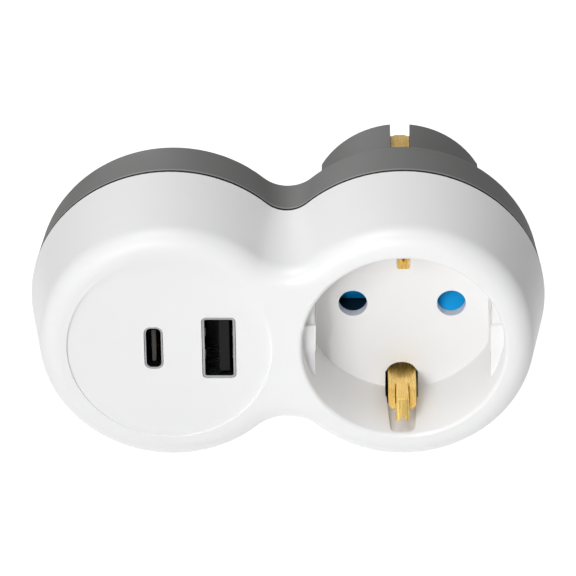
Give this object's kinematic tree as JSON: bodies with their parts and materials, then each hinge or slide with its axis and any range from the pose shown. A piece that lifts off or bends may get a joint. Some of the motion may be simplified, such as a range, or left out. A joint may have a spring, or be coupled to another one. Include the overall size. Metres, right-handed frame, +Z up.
{
  "type": "socket adapter",
  "caption": "Plug-in adapter with two round lobes: an earthed, shuttered socket in line with its plug, and a charger with two ports beside it.",
  "frame": {"origin": "centre of the plug boss's end face, on the common axis of plug and socket", "axes": "+Y along the plug's pins towards the wall, the front with socket and ports faces -Y; +Z up; the charger lobe lies towards -X"},
  "size_m": [0.0994, 0.0779, 0.0552],
  "materials": {
    "white_plastic": "fine satin",
    "grey_plastic": "fine spark-eroded grain",
    "ivory_plastic": "satin",
    "blue_plastic": "satin",
    "black_plastic": "satin",
    "spring_steel": "drawn wire",
    "brass": "rolled, bright",
    "nickel": "plated, turned",
    "port_steel": "drawn",
    "board_laminate": "lacquered",
    "ferrite": "matt",
    "coil_tape": "taped",
    "capacitor_sleeve": "shrunk sleeve",
    "copper_winding": "enamelled wire",
    "blue_coating": "dipped",
    "resistor_lacquer": "lacquered",
    "blue_insulation": "extruded",
    "brown_insulation": "extruded",
    "screw_steel": "zinc plated"
  },
  "bodies": {
    "housing": {"front_cover": "white_plastic", "back_shell": "grey_plastic", "contact_block": "ivory_plastic", "shutter_spring": "spring_steel", "contact_sleeve_left": "brass", "contact_sleeve_right": "brass", "plug_pin_left": "nickel", "plug_pin_right": "nickel", "socket_earth_strip": "brass", "plug_earth_strip": "brass", "earth_rivet": "brass", "usb_c_shell": "port_steel", "usb_a_shell": "port_steel", "usb_c_tongue": "black_plastic", "usb_a_tongue": "black_plastic", "charger_board": "board_laminate", "transformer_core": "ferrite", "transformer_bobbin": "black_plastic", "transformer_coil": "coil_tape", "input_capacitor_left": "capacitor_sleeve", "input_capacitor_right": "capacitor_sleeve", "output_capacitor_upper": "capacitor_sleeve", "output_capacitor_lower": "capacitor_sleeve", "choke": "copper_winding", "rectifier": "black_plastic", "controller_chip": "black_plastic", "noise_capacitor": "blue_coating", "fuse_resistor": "resistor_lacquer", "neutral_wire": "blue_insulation", "live_wire": "brown_insulation", "housing_screws": "screw_steel"},
    "shutter": {"shutter": "blue_plastic"}
  },
  "joints": [
    {"name": "shutter_turn", "type": "hinge", "parent": "housing", "child": "shutter", "pos_m": [0, -0.0369, 0], "axis": [0, 1, 0], "range_deg": [0, 36], "stiffness_Nm_per_rad": 0.0006, "deforming": ["shutter_spring"]}
  ]
}
